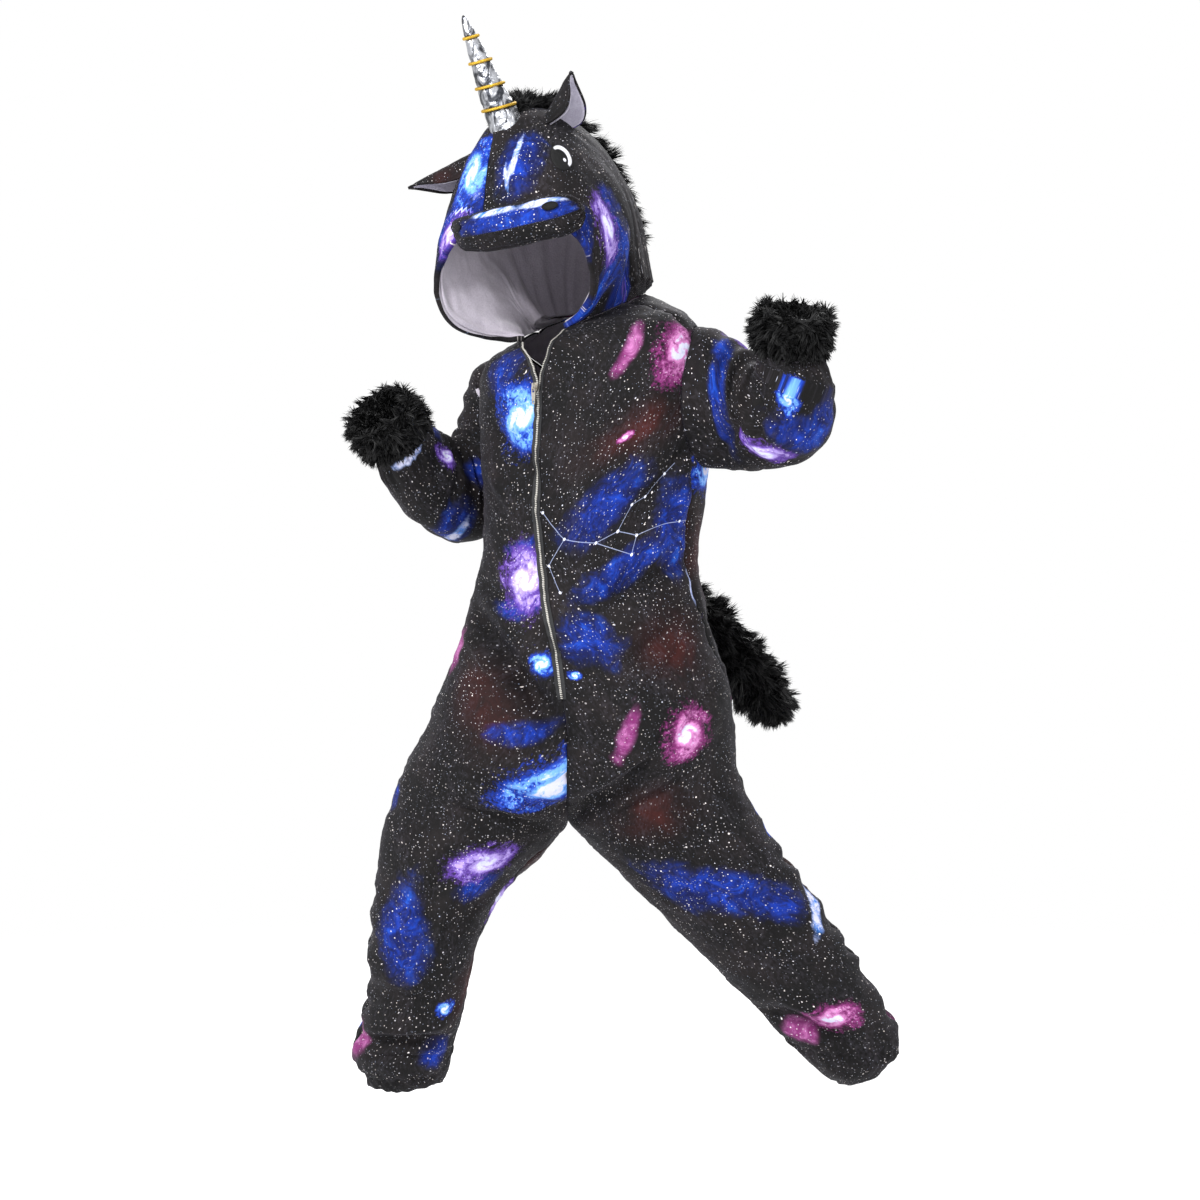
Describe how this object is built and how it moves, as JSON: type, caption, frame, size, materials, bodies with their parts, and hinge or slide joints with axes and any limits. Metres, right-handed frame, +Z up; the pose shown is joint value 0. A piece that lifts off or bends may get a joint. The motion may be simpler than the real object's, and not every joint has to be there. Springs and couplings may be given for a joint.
{
  "type": "hooded animal onesie",
  "caption": "Child's zipped plush onesie, worn hollow in a pouncing stance, with an animal-face hood, horn, ears, mane, fur cuffs and a fur tail.",
  "frame": {"origin": "between the wearer's shoulders, inside the neck, where the garment hangs on its wearer", "axes": "+Z up, -Y towards the viewer of the garment's front, +X towards the wearer's left"},
  "size_m": [0.6924, 0.4677, 1.3248],
  "materials": {
    "printed_plush": "short plush printed all over with galaxies and stars",
    "lining": "plain pale fleece",
    "fur": "long black pile",
    "silver_lame": "crinkled silver cloth",
    "gold_cord": "twisted metallic cord",
    "embroidery": "satin stitch",
    "zip_tape": "moulded teeth on woven tape",
    "zip_metal": "plated zinc"
  },
  "bodies": {
    "garment": {"front_left": "printed_plush", "front_right": "printed_plush", "back_left": "printed_plush", "back_right": "printed_plush", "sleeve_left": "printed_plush", "sleeve_right": "printed_plush", "hood_left": "printed_plush", "ear_left": "printed_plush", "hood_lining_left": "lining", "ear_left_lining": "lining", "cuff_left": "fur", "eye_left": "embroidery", "nostril_left": "embroidery", "zip_left": "zip_tape", "hood_right": "printed_plush", "ear_right": "printed_plush", "hood_lining_right": "lining", "ear_right_lining": "lining", "cuff_right": "fur", "eye_right": "embroidery", "nostril_right": "embroidery", "zip_right": "zip_tape", "muzzle": "printed_plush", "horn": "silver_lame", "horn_cord_1": "gold_cord", "horn_cord_2": "gold_cord", "horn_cord_3": "gold_cord", "horn_cord_4": "gold_cord", "mane": "fur", "tail": "fur", "zip_slider": "zip_metal"},
    "pull": {"zip_pull": "zip_metal"}
  },
  "joints": [
    {"name": "zip_pull_hinge", "type": "hinge", "parent": "garment", "child": "pull", "pos_m": [-0.04961, -0.10066, -0.06582], "axis": [-0.7873, 0.6165, 0], "range_deg": [0, 150]}
  ]
}
